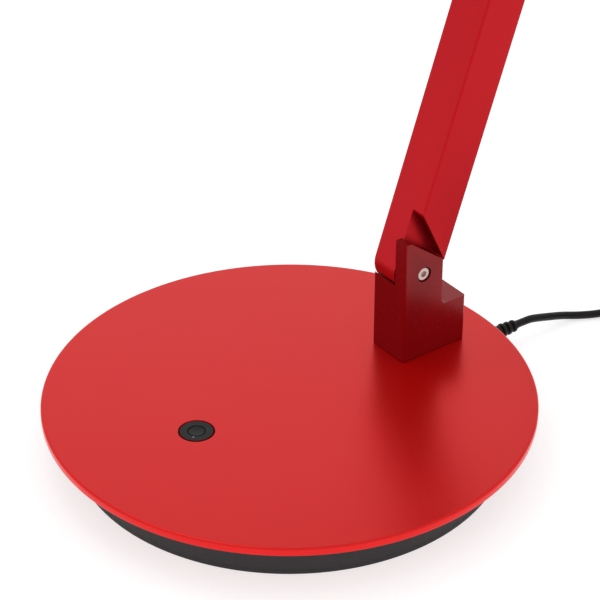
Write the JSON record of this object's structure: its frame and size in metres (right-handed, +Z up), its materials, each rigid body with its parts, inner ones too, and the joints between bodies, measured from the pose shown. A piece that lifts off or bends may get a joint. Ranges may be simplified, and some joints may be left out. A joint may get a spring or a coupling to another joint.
{
  "type": "architect desk lamp",
  "caption": "Architect desk lamp: weighted round base with a button, two square hinged arms, a slim bar head, a low-voltage lead with plug-in adaptor.",
  "frame": {"origin": "centre of the round base's underside, on the table", "axes": "+Z up; -Y towards the button and the lamp's head; +X along the hinge axes, towards the hinge screws' heads"},
  "size_m": [0.22, 0.7003, 0.4704],
  "materials": {
    "red_plate": "satin powder coat on steel, fine-grained",
    "red_arm": "satin red anodised aluminium",
    "red_post": "deep red anodised aluminium, smoother",
    "black_plastic": "fine texture, matte",
    "button_black": "satin",
    "rubber": "matte",
    "cord_black": "soft PVC sheen",
    "screw_steel": "nickel plated",
    "pin_metal": "nickel plated",
    "brass": "machined",
    "washer_nylon": "natural nylon",
    "cast_iron": "as cast",
    "board_green": "solder mask",
    "board_aluminium": "white solder mask on aluminium",
    "opal": "opal acrylic",
    "indicator": "clear light pipe",
    "tie_black": "hook and loop strap"
  },
  "bodies": {
    "base": {"base_plate": "red_plate", "base_housing": "black_plastic", "base_weight": "cast_iron", "foot_pad": "rubber", "control_board": "board_green", "housing_screw_1": "screw_steel", "housing_screw_2": "screw_steel", "housing_screw_3": "screw_steel", "housing_screw_4": "screw_steel", "post_front_screw": "screw_steel", "post_rear_screw": "screw_steel", "button_bezel": "button_black", "indicator_lens": "indicator", "tact_switch": "black_plastic", "hinge_post": "red_post", "base_hinge_bush": "brass", "base_hinge_washer": "washer_nylon", "strain_relief": "cord_black", "power_cord": "cord_black", "cord_coil": "cord_black", "cord_tail": "cord_black", "cord_tie": "tie_black", "adaptor_body": "black_plastic", "adaptor_boot": "cord_black", "adaptor_pin_1": "pin_metal", "adaptor_pin_2": "pin_metal"},
    "button": {"button_cap": "button_black"},
    "lower_arm": {"lower_arm_tube": "red_arm", "elbow_bracket": "red_post", "lower_arm_lead": "cord_black", "base_hinge_screw": "screw_steel", "base_hinge_nut": "screw_steel", "base_hinge_cap": "red_arm", "elbow_hinge_bush": "brass", "elbow_hinge_washer": "washer_nylon"},
    "upper_arm": {"upper_arm_tube": "red_arm", "head_bracket": "red_post", "upper_arm_lead": "cord_black", "elbow_hinge_screw": "screw_steel", "elbow_hinge_nut": "screw_steel", "elbow_hinge_cap": "red_arm", "head_hinge_bush": "brass", "head_hinge_washer": "washer_nylon"},
    "head": {"head_hinge_block": "red_post", "head_housing": "red_arm", "led_board": "board_aluminium", "diffuser": "opal", "head_end_cap": "red_arm", "head_hinge_screw": "screw_steel", "head_hinge_nut": "screw_steel", "head_hinge_cap": "red_arm"}
  },
  "joints": [
    {"name": "base_hinge", "type": "hinge", "parent": "base", "child": "lower_arm", "pos_m": [0, 0.066, 0.0668], "axis": [1, 0, 0], "range_deg": [-36, 22]},
    {"name": "elbow_hinge", "type": "hinge", "parent": "lower_arm", "child": "upper_arm", "pos_m": [0, 0.18783, 0.42674], "axis": [1, 0, 0], "range_deg": [-90, 8]},
    {"name": "head_hinge", "type": "hinge", "parent": "upper_arm", "child": "head", "pos_m": [0, -0.19072, 0.45986], "axis": [1, 0, 0], "range_deg": [-60, 60]},
    {"name": "button_press", "type": "slide", "parent": "base", "child": "button", "axis": [0, 0, -1], "range_m": [0, 0.001], "stiffness_N_per_m": 900}
  ]
}
